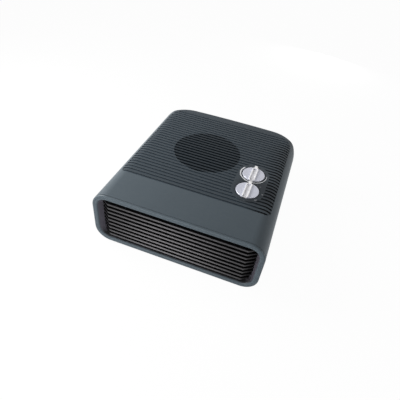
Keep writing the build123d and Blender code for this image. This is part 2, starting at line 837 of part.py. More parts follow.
def duct_mouth(x0, x1, z0, z1, y):
    """An upright rectangle across the air stream."""
    middle = ((x0 + x1) / 2, y, (z0 + z1) / 2)
    return Plane(middle, x_dir=(1, 0, 0), z_dir=(0, -1, 0)) * Rectangle(x1 - x0, z1 - z0)


def duct_passage(grow):
    """The air passage from the blower's outlet to the element, grown on all sides."""
    start = duct_mouth(scroll_left_x - grow, outlet_right_x + grow, scroll_floor_z - grow,
                       scroll_top_z + grow, outlet_y)
    end = duct_mouth(element_left_x - grow, element_right_x + grow, element_under_z - grow,
                     element_top_z + grow, element_rear_y)
    return loft([start, end], ruled=True)


def outlet_duct():
    """Widening duct between the blower's outlet and the heating element."""
    return duct_passage(duct_wall) - duct_passage(0)


def fin_row_floor(k):
    """Lower face of one row of fins."""
    return element_under_z + k * (fin_height + stone_thickness)


def blade_terminal(k, gap):
    """One blade terminal, from the end of a row of fins out through the frame's side."""
    z = fin_row_floor(k) + fin_height / 2
    thick = tab_thickness / 2 + gap
    return block(element_right_x, element_right_x + frame_wall + tab_length, safety_y - tab_width / 2 - gap,
                 safety_y + tab_width / 2 + gap, z - thick, z + thick)


def element_frame():
    """Frame round the ceramic element, standing on the base tray's supports."""
    body = block(element_left_x - frame_wall, element_right_x + frame_wall, element_front_y, element_rear_y,
                 element_under_z - frame_wall, element_top_z + frame_wall)
    body = body - block(element_left_x, element_right_x, element_front_y - overcut, element_rear_y + overcut,
                        element_under_z, element_top_z)
    return body - [blade_terminal(k, seat_gap) for k in range(fin_rows)]


def fin_row():
    """One row of folded aluminium fins between two plates, at the bottom of the element."""
    low = fin_row_floor(0)
    high = low + fin_height
    plates = [block(element_left_x, element_right_x, element_front_y, element_rear_y, z, z + fin_plate)
              for z in (low, high - fin_plate)]
    folds = int((element_width - fin_plate) // fin_pitch)
    start = element_shift - folds * fin_pitch / 2 - fin_plate / 2
    legs = []
    for k in range(folds):
        x = start + k * fin_pitch
        foot = low + fin_plate if k % 2 else high - fin_plate
        crest = high - fin_plate if k % 2 else low + fin_plate
        end = x + fin_pitch
        corners = [(x, foot), (x + fin_plate, foot), (end + fin_plate, crest), (end, crest)]
        legs.append(make_face(Polyline(*corners, close=True)))
    section = Plane((0, element_front_y, 0), x_dir=(1, 0, 0), z_dir=(0, -1, 0)) * (Sketch() + legs)
    return Part() + plates + extrude(section, -element_depth)


def element_fins():
    """Rows of folded fins, one above the other."""
    first = fin_row()
    return Compound([Pos(0, 0, fin_row_floor(k) - fin_row_floor(0)) * first for k in range(fin_rows)])


def ceramic_stones():
    """Ceramic heating stones between the rows of fins."""
    pieces = []
    stone_count = int(element_width // stone_pitch)
    for k in range(fin_rows - 1):
        low = fin_row_floor(k) + fin_height
        for x in row(stone_count, stone_pitch, element_shift):
            pieces.append(block(x - stone_length / 2, x + stone_length / 2, element_front_y, element_rear_y,
                                low, low + stone_thickness))
    return Compound(pieces)


def element_terminals():
    """One blade terminal for each row of fins."""
    return Compound([blade_terminal(k, 0) for k in range(fin_rows)])


def thermal_cutout():
    """Round self-resetting cut-out on the element frame, with a tab at each side."""
    x = element_shift - safety_spacing / 2
    body = rod(x, safety_y, safety_z, safety_z + cutout_height, cutout_radius)
    body = fillet(body.edges().sort_by(Axis.Z)[-1], cutout_height / 4)
    reach = cutout_radius + tab_length
    middle = safety_z + cutout_height / 2
    return body + block(x - reach, x + reach, safety_y - tab_width / 2, safety_y + tab_width / 2,
                        middle - tab_thickness / 2, middle + tab_thickness / 2)


def thermal_fuse():
    """One-shot thermal fuse lying in a saddle on the element frame."""
    x = element_shift + safety_spacing / 2
    half = fuse_length / 2
    saddle = block(x - half, x + half, safety_y - fuse_radius, safety_y + fuse_radius, safety_z,
                   safety_z + fuse_radius)
    body = Pos(x, safety_y, safety_z + fuse_radius) * Rot(0, 90, 0) * Cylinder(fuse_radius, fuse_length)
    return saddle + body


def cord_gland():
    """Gland bush in the rear wall, its flange flush with the wall."""
    flange_y = rear_y - gland_flange_thickness
    body = level_rod(gland_x, gland_z, flange_y, rear_y, gland_flange_radius)
    neck_y = gland_inner_y - gland_nut_thickness
    body = body + level_rod(gland_x, gland_z, neck_y, flange_y, gland_neck_radius)
    return body - level_rod(gland_x, gland_z, gland_inner_y - far, rear_y + overcut, gland_bore_radius)


def gland_nut():
    """Hexagon nut that holds the gland from inside."""
    outline = RegularPolygon(gland_nut_radius, 6) - Circle(gland_neck_radius)
    placed = Plane((gland_x, gland_inner_y, gland_z), x_dir=(1, 0, 0), z_dir=(0, -1, 0)) * outline
    return extrude(placed, gland_nut_thickness)


def cord_clamp():
    """Strap with an arch over the supply cord's path, on the two clamp bosses."""
    half = clamp_span / 2 + clamp_boss_radius
    y0 = clamp_y - clamp_width / 2
    y1 = clamp_y + clamp_width / 2
    body = block(gland_x - half, gland_x + half, y0, y1, gland_z, gland_z + clamp_thickness)
    arch = level_rod(gland_x, gland_z, y0, y1, clamp_arch_radius + clamp_thickness)
    body = body + (arch & block(gland_x - far, gland_x + far, y0, y1, gland_z, top_z))
    body = body - level_rod(gland_x, gland_z, y0 - overcut, y1 + overcut, clamp_arch_radius)
    for x, y in clamp_screw_places():
        body = body - rod(x, y, gland_z - overcut, top_z, clamp_screw_radius + hole_gap)
    return body


def clamp_screws():
    """Two screws that pull the cord clamp down."""
    seat = gland_z + clamp_thickness
    return Compound([screw(x, y, seat, clamp_thickness + clamp_screw_bite, clamp_screw_radius,
                           clamp_screw_head_radius, clamp_screw_head_height, True)
                     for x, y in clamp_screw_places()])


def terminal_block():
    """Three-way terminal block on the floor, with a wire way and a screw well for each pole."""
    half = block_width / 2
    y0 = block_y - block_depth / 2
    y1 = block_y + block_depth / 2
    body = block(gland_x - half, gland_x + half, y0, y1, floor_z, floor_z + block_height)
    for x in row(block_ways, block_width / block_ways, gland_x):
        body = body - level_rod(x, floor_z + block_height / 2, y0 - overcut, y1 + overcut, block_way_radius)
        body = body - rod(x, block_y, floor_z + block_height / 2, top_z, block_way_radius)
    return body


nodes = {
    "base_tray": base_tray(),
    "upper_casing": upper_casing(),
    "front_bezel": front_bezel(),
    "outlet_grille": outlet_grille(),
    "ribbed_cover": ribbed_cover(),
    "feet": feet(),
    "casing_screws": casing_screws(),
    "thermostat_knob": knob(thermostat_y),
    "thermostat_spindle": control_spindle(thermostat_y),
    "thermostat_body": thermostat_body(),
    "selector_knob": knob(selector_y),
    "rotary_switch_spindle": control_spindle(selector_y),
    "rotary_switch_body": rotary_switch_body(),
    "control_bracket": control_bracket(),
    "control_nuts": control_nuts(),
    "bracket_screws": bracket_screws(),
    "blower_scroll": blower_scroll(),
    "blower_inlet_plate": blower_inlet_plate(),
    "blower_screws": blower_screws(),
    "impeller": impeller(),
    "motor_shaft": motor_shaft(),
    "motor_rotor": motor_rotor(),
    "motor_stator": motor_stator(),
    "motor_coil": motor_coil(),
    "motor_upper_bracket": motor_upper_bracket(),
    "motor_lower_bracket": motor_lower_bracket(),
    "motor_bearings": motor_bearings(),
    "motor_screws": motor_screws(),
    "outlet_duct": outlet_duct(),
    "element_frame": element_frame(),
    "element_fins": element_fins(),
    "ceramic_stones": ceramic_stones(),
    "element_terminals": element_terminals(),
    "thermal_cutout": thermal_cutout(),
    "thermal_fuse": thermal_fuse(),
    "cord_gland": cord_gland(),
    "gland_nut": gland_nut(),
    "cord_clamp": cord_clamp(),
    "clamp_screws": clamp_screws(),
    "terminal_block": terminal_block(),
}

os.makedirs("parts", exist_ok=True)
for name, piece in nodes.items():
    export_step(piece, f"parts/{name}.step")
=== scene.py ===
"""Dresses a packed flat ceramic fan heater: finishes, dial prints, studio light and camera."""

import json
import logging
import math
from collections.abc import Iterable
from dataclasses import dataclass
from enum import Enum

import bmesh
import bpy
from mathutils import Matrix, Vector


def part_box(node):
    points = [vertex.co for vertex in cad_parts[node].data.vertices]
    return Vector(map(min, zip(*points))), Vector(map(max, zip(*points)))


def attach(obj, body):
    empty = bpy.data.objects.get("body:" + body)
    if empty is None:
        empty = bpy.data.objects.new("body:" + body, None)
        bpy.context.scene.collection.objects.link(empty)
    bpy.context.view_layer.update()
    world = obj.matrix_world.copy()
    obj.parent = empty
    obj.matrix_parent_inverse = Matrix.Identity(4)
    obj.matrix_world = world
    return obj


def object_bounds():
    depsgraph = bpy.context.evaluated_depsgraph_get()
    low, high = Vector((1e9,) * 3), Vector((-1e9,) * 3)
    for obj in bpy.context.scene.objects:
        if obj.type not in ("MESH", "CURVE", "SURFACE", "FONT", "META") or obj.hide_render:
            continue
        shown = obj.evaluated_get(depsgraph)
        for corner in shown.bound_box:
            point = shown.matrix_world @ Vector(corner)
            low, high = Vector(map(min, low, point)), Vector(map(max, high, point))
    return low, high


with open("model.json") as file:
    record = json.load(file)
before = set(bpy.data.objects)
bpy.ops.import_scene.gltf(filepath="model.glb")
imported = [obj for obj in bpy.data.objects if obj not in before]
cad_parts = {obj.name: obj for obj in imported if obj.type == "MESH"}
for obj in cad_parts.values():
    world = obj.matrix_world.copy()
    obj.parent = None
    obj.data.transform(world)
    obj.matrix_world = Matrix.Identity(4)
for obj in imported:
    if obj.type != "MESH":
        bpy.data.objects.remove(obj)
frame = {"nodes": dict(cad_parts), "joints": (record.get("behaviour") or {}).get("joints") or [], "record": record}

logging.basicConfig(level=logging.INFO, format="%(levelname)s %(message)s")
log = logging.getLogger("fan_heater")

Colour = tuple[float, float, float, float]
Place = tuple[float, float, float]
Outline = list[tuple[float, float]]
Socket = bpy.types.NodeSocket
Inputs = dict[str | int, object]
Material = bpy.types.Material
Piece = bpy.types.Object

CAD_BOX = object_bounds()
MILLIMETRE = 0.001
WHITE: Colour = (1.0, 1.0, 1.0, 1.0)


class Body(Enum):
    """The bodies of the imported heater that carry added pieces."""

    CASING = "casing"
    THERMOSTAT = "thermostat"
    SELECTOR = "selector"


class Effect(Enum):
    """The shader node groups that several finishes share."""

    GRAIN = "moulded_grain"
    # Mask for a painted highlight along edges, broken up like handling wear.
    EDGE_HIGHLIGHT_WEAR = "edge_highlight_and_wear"
    LINES = "drawn_lines"
    # Mask on faces that look up: settled dust, and painted shade in the outlet.
    DUST_AND_SHADE = "dust_and_upward_shade"
    # Ramp behind a front plane, carrying painted shade in the outlet.
    RECESS = "depth_behind_front"
    FORM = "depth_under_form"
    PATCH = "soft_patch"


class Lamp(Enum):
    """The soft lamps of the studio."""

    KEY = "key_lamp"
    FRONT = "front_lamp"
    RIGHT = "right_lamp"
    REAR = "rear_lamp"


def display_colour(red: float, green: float, blue: float) -> Colour:
    """Turns display levels into a linear colour by the standard display curve.

    Args:
        red: Display level from 0 to 255.
        green: Display level from 0 to 255.
        blue: Display level from 0 to 255.

    Returns:
        The linear colour with full alpha.
    """
    linear = []
    for level in (red, green, blue):
        share = level / 255
        linear.append(share / 12.92 if share <= 0.04045 else ((share + 0.055) / 1.055) ** 2.4)
    return (linear[0], linear[1], linear[2], 1.0)


def joint_place(name: str) -> Vector:
    """Gives a joint's place in the frame, in metres, by the joint's name."""
    joint = next(j for j in frame["joints"] if j["name"] == name)
    return Vector(joint["pos_m"])


@dataclass(frozen=True)
class CasingSection:
    """The rounded rectangle that the casing is drawn from."""

    low: Vector
    high: Vector
    rounding: float

    def sizes(self) -> dict[str, float]:
        """Gives the section's sizes as inputs of the depth group."""
        return {"Half_Width": self.high.x, "Middle": (self.low.z + self.high.z) / 2,
                "Half_Height": (self.high.z - self.low.z) / 2, "Rounding": self.rounding}


SECTION = CasingSection(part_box("base_tray")[0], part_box("upper_casing")[1], 24.5 * MILLIMETRE)
CASING_COLOUR = display_colour(70, 80, 87)
# Paler edge tone of the casing: a painted highlight along its edges.
CASING_EDGE_HIGHLIGHT = display_colour(94, 105, 112)
COVER_COLOUR = display_colour(49, 58, 65)


class NodeSheet:
    """A node tree with short calls for adding, setting and joining its nodes."""

    def __init__(self, tree: bpy.types.NodeTree) -> None:
        """Starts from the tree with its nodes removed."""
        self.tree = tree
        self.tree.nodes.clear()

    def add(self, kind: str, inputs: Inputs | None = None, **settings: object) -> bpy.types.Node:
        """Adds one node.

        Args:
            kind: The node's type name.
            inputs: Values or source sockets for the node's inputs, by name or number.
            settings: Attributes of the node.

        Returns:
            The new node.
        """
        node = self.tree.nodes.new(kind)
        for name, value in settings.items():
            setattr(node, name, value)
        for name, value in (inputs or {}).items():
            self.feed(node.inputs[name], value)
        return node

    def feed(self, target: Socket, value: object) -> None:
        """Joins a source socket to an input, or sets the input's own value.

        Args:
            target: The input socket.
            value: An output socket, or a plain value.
        """
        if isinstance(value, Socket):
            self.tree.links.new(value, target)
        else:
            target.default_value = value

    def reckon(self, operation: str, *values: object) -> Socket:
        """Adds one sum of numbers or source sockets."""
        return self.add("ShaderNodeMath", dict(enumerate(values)), operation=operation).outputs["Value"]

    def mix(self, share: object, first: object, second: object) -> Socket:
        """Adds one blend of two colours.

        Args:
            share: Share of the second colour, a number or a source socket.
            first: A colour or a source socket.
            second: A colour or a source socket.

        Returns:
            The blended colour's socket.
        """
        node = self.add("ShaderNodeMix", data_type="RGBA")
        self.feed(node.inputs["Factor"], share)
        colours = [socket for socket in node.inputs if socket.type == "RGBA"]
        self.feed(colours[0], first)
        self.feed(colours[1], second)
        return next(socket for socket in node.outputs if socket.type == "RGBA")

    def ramp(self, value: Socket, start: object, full: object, shape: str = "LINEAR") -> Socket:
        """Adds a mask that goes from 0 where a value is at its start to 1 where it is at its full."""
        span = {"Value": value, "From Min": start, "From Max": full}
        return self.add("ShaderNodeMapRange", span, interpolation_type=shape).outputs["Result"]

    def place(self) -> Socket:
        """Adds the place on the piece, in metres of the shared frame."""
        return self.add("ShaderNodeTexCoord").outputs["Object"]

    def axes(self) -> bpy.types.NodeOutputs:
        """Adds the place's own X, Y and Z."""
        return self.add("ShaderNodeSeparateXYZ", {"Vector": self.place()}).outputs

    def combine(self, operation: str, first: object, second: object) -> bpy.types.NodeOutputs:
        """Adds one sum of two vectors."""
        return self.add("ShaderNodeVectorMath", {0: first, 1: second}, operation=operation).outputs

    def noise(self, place: Socket, size: Socket, detail: float) -> Socket:
        """Adds a soft noise from 0 to 1.

        Args:
            place: The place's socket.
            size: Size of the noise's patches.
            detail: Number of finer layers.

        Returns:
            The noise's socket.
        """
        scale = self.reckon("DIVIDE", 1.0, size)
        inputs = {"Vector": place, "Scale": scale, "Detail": detail}
        return self.add("ShaderNodeTexNoise", inputs).outputs["Fac"]

    def spread(self, noise: Socket, middle: object, amount: object) -> Socket:
        """Moves a value about its middle by a noise from 0 to 1, by at most the amount either way."""
        centred = self.reckon("MULTIPLY_ADD", noise, 2.0, -1.0)
        return self.reckon("ADD", self.reckon("MULTIPLY", centred, amount), middle)

    def bump(self, height: Socket, distance: float, strength: float) -> Socket:
        """Adds a fine relief of a real height, the distance, and gives the changed normal."""
        inputs = {"Strength": strength, "Distance": distance, "Height": height}
        return self.add("ShaderNodeBump", inputs).outputs["Normal"]


class EffectShelf:
    """Builds each shared shader node group once."""

    KINDS = {"Colour": "NodeSocketColor", "Stretch": "NodeSocketVector", "Place": "NodeSocketVector",
             "Centre": "NodeSocketVector"}
    OTHER_KIND = "NodeSocketFloat"
    BROAD_SHARE = 0.7
    BROAD_DETAIL = 3.0
    FINE_SHARE = 0.3
    FINE_DETAIL = 2.0
    PIT_SHARE = 0.5
    EDGE_START = 0.99
    EDGE_FULL = 0.80
    EDGE_DETAIL = 4.0
    EDGE_SAMPLES = 4
    LINE_DETAIL = 3.0
    UPWARD_START = 0.2
    UPWARD_FULL = 1.0
    FILM_DETAIL = 6.0
    SQUARE_ROOT = 0.5

    def __init__(self) -> None:
        """Builds every group."""
        self.groups: dict[Effect, bpy.types.NodeTree] = {}
        self._build_grain()
        self._build_edge_highlight_wear()
        self._build_lines()
        self._build_dust_and_shade()
        self._build_recess()
        self._build_form()
        self._build_patch()

    def _open(self, effect: Effect, inputs: tuple[str, ...],
              outputs: tuple[str, ...]) -> tuple[NodeSheet, dict[str, Socket], dict[str, Socket]]:
        """Makes an empty group with its sockets.

        Args:
            effect: The group's name.
            inputs: Names of the input sockets.
            outputs: Names of the output sockets.

        Returns:
            The group's nodes, its input sockets and its output sockets.
        """
        tree = bpy.data.node_groups.new(effect.value, "ShaderNodeTree")
        for side, names in (("INPUT", inputs), ("OUTPUT", outputs)):
            for name in names:
                kind = self.KINDS.get(name, self.OTHER_KIND)
                tree.interface.new_socket(name=name, in_out=side, socket_type=kind)
        sheet = NodeSheet(tree)
        entry = sheet.add("NodeGroupInput")
        leave = sheet.add("NodeGroupOutput")
        self.groups[effect] = tree
        return sheet, {n: entry.outputs[n] for n in inputs}, {n: leave.inputs[n] for n in outputs}

    @staticmethod
    def _vary(sheet: NodeSheet, given: dict[str, Socket], out: dict[str, Socket], noise: Socket) -> None:
        """Varies a group's given colour and roughness by a noise.

        Args:
            sheet: The group's nodes.
            given: The group's input sockets.
            out: The group's output sockets.
            noise: The noise's socket, from 0 to 1.
        """
        value = sheet.spread(noise, 1.0, given["Tone Shift"])
        shifted = sheet.add("ShaderNodeHueSaturation", {"Color": given["Colour"], "Value": value})
        sheet.feed(out["Colour"], shifted.outputs["Color"])
        sheet.feed(out["Roughness"], sheet.spread(noise, given["Roughness"], given["Roughness Spread"]))

    def _build_grain(self) -> None:
        """The fine eroded grain of a mould, with broad soft changes of tone."""
        sheet, given, out = self._open(
            Effect.GRAIN,
            ("Colour", "Tone Shift", "Grain Size", "Patch Size", "Roughness", "Roughness Spread"),
            ("Colour", "Roughness", "Height"),
        )
        place = sheet.place()
        fine = sheet.noise(place, given["Grain Size"], self.FINE_DETAIL)
        broad = sheet.noise(place, given["Patch Size"], self.BROAD_DETAIL)
        scale = sheet.reckon("DIVIDE", 1.0, given["Grain Size"])
        pits = sheet.add("ShaderNodeTexVoronoi", {"Vector": place, "Scale": scale}).outputs["Distance"]
        tone = sheet.reckon("ADD", sheet.reckon("MULTIPLY", broad, self.BROAD_SHARE),
                            sheet.reckon("MULTIPLY", fine, self.FINE_SHARE))
        self._vary(sheet, given, out, tone)
        sunk = sheet.reckon("MULTIPLY", pits, self.PIT_SHARE)
        sheet.feed(out["Height"], sheet.reckon("SUBTRACT", fine, sunk))

    def _build_edge_highlight_wear(self) -> None:
        """A mask along the edges for a painted highlight, broken up as handling wear does it."""
        sheet, given, out = self._open(Effect.EDGE_HIGHLIGHT_WEAR, ("Radius", "Amount", "Patch Size"), ("Mask",))
        flat = sheet.add("ShaderNodeNewGeometry").outputs["Normal"]
        bevel = sheet.add("ShaderNodeBevel", {"Radius": given["Radius"]}, samples=self.EDGE_SAMPLES)
        likeness = sheet.combine("DOT_PRODUCT", flat, bevel.outputs["Normal"])["Value"]
        edge = sheet.ramp(likeness, self.EDGE_START, self.EDGE_FULL)
        noise = sheet.noise(sheet.place(), given["Patch Size"], self.EDGE_DETAIL)
        broken = sheet.reckon("MULTIPLY", edge, noise)
        sheet.feed(out["Mask"], sheet.reckon("MULTIPLY", broken, given["Amount"]))

    def _build_lines(self) -> None:
        """Fine lines along one direction, as rolling, turning or brushing leaves them."""
        sheet, given, out = self._open(
            Effect.LINES,
            ("Colour", "Tone Shift", "Line Pitch", "Stretch", "Roughness", "Roughness Spread"),
            ("Colour", "Roughness", "Height"),
        )
        drawn = sheet.combine("MULTIPLY", sheet.place(), given["Stretch"])["Vector"]
        noise = sheet.noise(drawn, given["Line Pitch"], self.LINE_DETAIL)
        self._vary(sheet, given, out, noise)
        sheet.feed(out["Height"], noise)

    def _build_dust_and_shade(self) -> None:
        """A mask on faces that look up, broken into thin uneven patches: settled dust on the mouldings, fading on
        prints, and painted shade on the outlet's floors.
        """
        sheet, given, out = self._open(Effect.DUST_AND_SHADE, ("Amount", "Patch Size"), ("Mask",))
        normal = sheet.add("ShaderNodeNewGeometry").outputs["Normal"]
        height = sheet.add("ShaderNodeSeparateXYZ", {"Vector": normal}).outputs["Z"]
        upward = sheet.ramp(height, self.UPWARD_START, self.UPWARD_FULL)
        noise = sheet.noise(sheet.place(), given["Patch Size"], self.FILM_DETAIL)
        film = sheet.reckon("MULTIPLY", upward, noise)
        sheet.feed(out["Mask"], sheet.reckon("MULTIPLY", film, given["Amount"]))

    def _build_recess(self) -> None:
        """A mask that rises with the depth behind a front plane."""
        sheet, given, out = self._open(Effect.RECESS, ("Front", "Reach"), ("Mask",))
        full = sheet.reckon("ADD", given["Front"], given["Reach"])
        sheet.feed(out["Mask"], sheet.ramp(sheet.axes()["Y"], given["Front"], full))

    def _build_form(self) -> None:
        """The depth of a place under the casing's rounded section."""
        sheet, given, out = self._open(
            Effect.FORM, ("Half Width", "Middle", "Half Height", "Rounding"), ("Depth",))
        axes = sheet.axes()
        height = sheet.reckon("SUBTRACT", axes["Z"], given["Middle"])
        squares = []
        for offset, half in ((axes["X"], given["Half Width"]), (height, given["Half Height"])):
            flat = sheet.reckon("SUBTRACT", half, given["Rounding"])
            aside = sheet.reckon("SUBTRACT", sheet.reckon("ABSOLUTE", offset), flat)
            arm = sheet.reckon("MAXIMUM", aside, 0.0)
            squares.append(sheet.reckon("MULTIPLY", arm, arm))
        reach = sheet.reckon("POWER", sheet.reckon("ADD", *squares), self.SQUARE_ROOT)
        sheet.feed(out["Depth"], sheet.reckon("SUBTRACT", given["Rounding"], reach))

    def _build_patch(self) -> None:
        """A soft round mask about a fixed point."""
        sheet, given, out = self._open(Effect.PATCH, ("Place", "Centre", "Near", "Far"), ("Mask",))
        away = sheet.combine("DISTANCE", given["Place"], given["Centre"])["Value"]
        sheet.feed(out["Mask"], sheet.ramp(away, given["Far"], given["Near"], "SMOOTHSTEP"))


class MaterialSheet(NodeSheet):
    """The nodes of one material, about one Principled shader."""

    def __init__(self, name: str, shelf: EffectShelf) -> None:
        """Makes the material with its shader.

        Args:
            name: The material's name.
            shelf: The shared node groups.
        """
        self.material = bpy.data.materials.new(name)
        self.material.use_nodes = True
        super().__init__(self.material.node_tree)
        self.groups = shelf.groups
        self.shader = self.add("ShaderNodeBsdfPrincipled")
        self.add("ShaderNodeOutputMaterial", {"Surface": self.shader.outputs["BSDF"]})

    def effect(self, effect: Effect, **values: object) -> bpy.types.NodeOutputs:
        """Places one shared group.

        Args:
            effect: The group to place.
            values: Values or source sockets for its inputs, with underscores for spaces.

        Returns:
            The group's outputs.
        """
        node = self.add("ShaderNodeGroup", node_tree=self.groups[effect])
        for name, value in values.items():
            self.feed(node.inputs[name.replace("_", " ")], value)
        return node.outputs

    def grain(self, finish: "GrainedFinish") -> bpy.types.NodeOutputs:
        """Places the grain group with a finish's own colour and sizes.

        Args:
            finish: The finish that has the grain.

        Returns:
            The group's outputs.
        """
        return self.effect(Effect.GRAIN, Colour=finish.colour, Tone_Shift=finish.tone_shift,
                           Grain_Size=finish.grain_size, Patch_Size=finish.patch_size,
                           Roughness=finish.roughness, Roughness_Spread=finish.roughness_spread)

    def finish(self, **values: object) -> Material:
        """Sets the shader's inputs.

        Args:
            values: Values or source sockets for its inputs, with underscores for spaces.

        Returns:
            The finished material.
        """
        for name, value in values.items():
            self.feed(self.shader.inputs[name.replace("_", " ")], value)
        return self.material


@dataclass(frozen=True)
class MouldedPlastic:
    """A moulded plastic with a fine eroded grain and paler edges, a painted highlight broken up like handling
    wear.
    """

    name: str
    colour: Colour
    edge_highlight_colour: Colour
    tone_shift: float = 0.06
    grain_size: float = 0.5 * MILLIMETRE
    patch_size: float = 45 * MILLIMETRE
    roughness: float = 0.45
    roughness_spread: float = 0.06
    grain_height: float = 0.02 * MILLIMETRE
    grain_strength: float = 0.35
    edge_radius: float = 0.5 * MILLIMETRE
    edge_amount: float = 0.5
    edge_patch_share: float = 1 / 4
    dust_amount: float = 0.05
    dust_patch_share: float = 1 / 8
    dust_colour: Colour = display_colour(150, 150, 148)
    specular: float = 0.2

    def tint(self, sheet: MaterialSheet, colour: Socket) -> Socket:
        """Changes the moulded colour over the surface, which a plain moulding leaves as it is."""
        return colour

    def make(self, shelf: EffectShelf) -> Material:
        """Builds the material.

        Args:
            shelf: The shared node groups.

        Returns:
            The material.
        """
        sheet = MaterialSheet(self.name, shelf)
        grain = sheet.grain(self)
        edge_highlight = sheet.effect(Effect.EDGE_HIGHLIGHT_WEAR, Radius=self.edge_radius, Amount=self.edge_amount,
                            Patch_Size=self.patch_size * self.edge_patch_share)
        dust = sheet.effect(Effect.DUST_AND_SHADE, Amount=self.dust_amount,
                            Patch_Size=self.patch_size * self.dust_patch_share)
        # Painted highlight along the edges, broken up like handling wear.
        edged = sheet.mix(edge_highlight["Mask"], grain["Colour"], self.edge_highlight_colour)
        dusted = sheet.mix(dust["Mask"], edged, self.dust_colour)
        normal = sheet.bump(grain["Height"], self.grain_height, self.grain_strength)
        return sheet.finish(Base_Color=self.tint(sheet, dusted), Roughness=grain["Roughness"], Normal=normal,
                            Specular_IOR_Level=self.specular)


@dataclass(frozen=True, kw_only=True)
class RecessedPlastic(MouldedPlastic):
    """A moulding of the outlet with painted shade behind its front, darker on the faces that look up there."""

    recess_shade_colour: Colour
    upward_shade_colour: Colour
    recess_front: float
    recess_reach: float
    lip_width: float = 4.5 * MILLIMETRE
    lip_fade: float = 1.5 * MILLIMETRE
    upward_shade_amount: float = 2.6

    def tint(self, sheet: MaterialSheet, colour: Socket) -> Socket:
        """Paints shade on the moulding behind its front, darker on the faces that look up there.

        Args:
            sheet: The material's nodes.
            colour: The moulded colour's socket.

        Returns:
            The changed colour's socket.
        """
        recess = sheet.effect(Effect.RECESS, Front=self.recess_front, Reach=self.recess_reach)
        depth = sheet.effect(Effect.FORM, **SECTION.sizes())["Depth"]
        inside = sheet.ramp(depth, self.lip_width, self.lip_width + self.lip_fade)
        upward_shade = sheet.effect(Effect.DUST_AND_SHADE, Amount=self.upward_shade_amount,
                            Patch_Size=self.patch_size * self.dust_patch_share)
        share = sheet.reckon("MULTIPLY", recess["Mask"], inside)
        # Painted shade behind the front, inside the lip.
        walls = sheet.mix(share, colour, self.recess_shade_colour)
        # Darker painted shade on the faces that look up behind the front.
        return sheet.mix(sheet.reckon("MULTIPLY", share, upward_shade["Mask"]), walls, self.upward_shade_colour)


@dataclass(frozen=True, kw_only=True)
class SlatPlastic(RecessedPlastic):
    """The grille's plastic, with a painted highlight on the low middle of its slats."""

    slat_highlight_colour: Colour
    slat_highlight_centre: Place
    slat_highlight_near: float
    slat_highlight_far: float

    def tint(self, sheet: MaterialSheet, colour: Socket) -> Socket:
        """Paints a highlight on the middle of the slats, then paints shade on them behind their front.

        Args:
            sheet: The material's nodes.
            colour: The moulded colour's socket.

        Returns:
            The changed colour's socket.
        """
        # Painted highlight on the low middle of the slats.
        slat_highlight = sheet.effect(Effect.PATCH, Place=sheet.place(), Centre=self.slat_highlight_centre,
                             Near=self.slat_highlight_near, Far=self.slat_highlight_far)
        return super().tint(sheet, sheet.mix(slat_highlight["Mask"], colour, self.slat_highlight_colour))


@dataclass(frozen=True, kw_only=True)
class RimmedPlastic(MouldedPlastic):
    """The casing's plastic, as dark as the cover along the rear rim."""

    rim_colour: Colour
    rim_front: float
    rim_reach: float
    rim_floor: float

    def tint(self, sheet: MaterialSheet, colour: Socket) -> Socket:
        """Darkens the top of the rear rim.

        Args:
            sheet: The material's nodes.
            colour: The moulded colour's socket.

        Returns:
            The changed colour's socket.
        """
        top = sheet.ramp(sheet.axes()["Z"], self.rim_floor, self.rim_floor + self.rim_reach)
        rear = sheet.effect(Effect.RECESS, Front=self.rim_front, Reach=self.rim_reach)
        return sheet.mix(sheet.reckon("MULTIPLY", top, rear["Mask"]), colour, self.rim_colour)


@dataclass(frozen=True, kw_only=True)
class RibbedPlastic(MouldedPlastic):
    """The cover's plastic: grooves painted paler on the flat against their shade and black on the right rounding
    as painted shade, with painted shade in the round intake and on the patch by the knobs.
    """

    flat_groove_light_colour: Colour
    side_groove_shade_colour: Colour
    intake_shade_colour: Colour
    intake_centre: Place
    intake_radius: float
    corner_rear: float
    knob_shade_colour: Colour
    knob_shade_centre: Place
    knob_shade_near: float
    knob_shade_far: float
    corner_reach: float = 30 * MILLIMETRE
    groove_start: float = 0.15 * MILLIMETRE
    groove_full: float = 0.6 * MILLIMETRE

    def tint(self, sheet: MaterialSheet, colour: Socket) -> Socket:
        """Paints the grooves by their depth under the casing's form, paler against their shade on the flat and
        black as shade on the right rounding, and paints shade on the patch and intake by distance.

        Args:
            sheet: The material's nodes.
            colour: The moulded colour's socket.

        Returns:
            The changed colour's socket.
        """
        axes = sheet.axes()
        depth = sheet.effect(Effect.FORM, **SECTION.sizes())["Depth"]
        groove = sheet.ramp(depth, self.groove_start, self.groove_full)
        bend = SECTION.high.x - SECTION.rounding
        steep = sheet.ramp(axes["X"], bend - SECTION.rounding, bend)
        # The black painted shade of the side grooves fades out towards the rear corner.
        corner = sheet.ramp(axes["Y"], self.corner_rear, self.corner_rear - self.corner_reach)
        side = sheet.reckon("MULTIPLY", steep, corner)
        # Flat grooves painted paler against their shade, side grooves painted black as shade.
        grooved = sheet.mix(groove, colour, sheet.mix(side, self.flat_groove_light_colour, self.side_groove_shade_colour))
        level = sheet.add("ShaderNodeCombineXYZ", {"X": axes["X"], "Y": axes["Y"]}).outputs["Vector"]
        patch = sheet.effect(Effect.PATCH, Place=level, Centre=self.knob_shade_centre, Near=self.knob_shade_near,
                             Far=self.knob_shade_far)
        ribs = sheet.reckon("SUBTRACT", 1.0, groove)
        # Painted shade on the ribs of the patch by the knobs.
        knob_shaded = sheet.mix(sheet.reckon("MULTIPLY", ribs, patch["Mask"]), grooved, self.knob_shade_colour)
        # Painted shade in the round intake.
        away = sheet.combine("DISTANCE", level, self.intake_centre)["Value"]
        disc = sheet.reckon("LESS_THAN", away, self.intake_radius)
        return sheet.mix(disc, knob_shaded, self.intake_shade_colour)


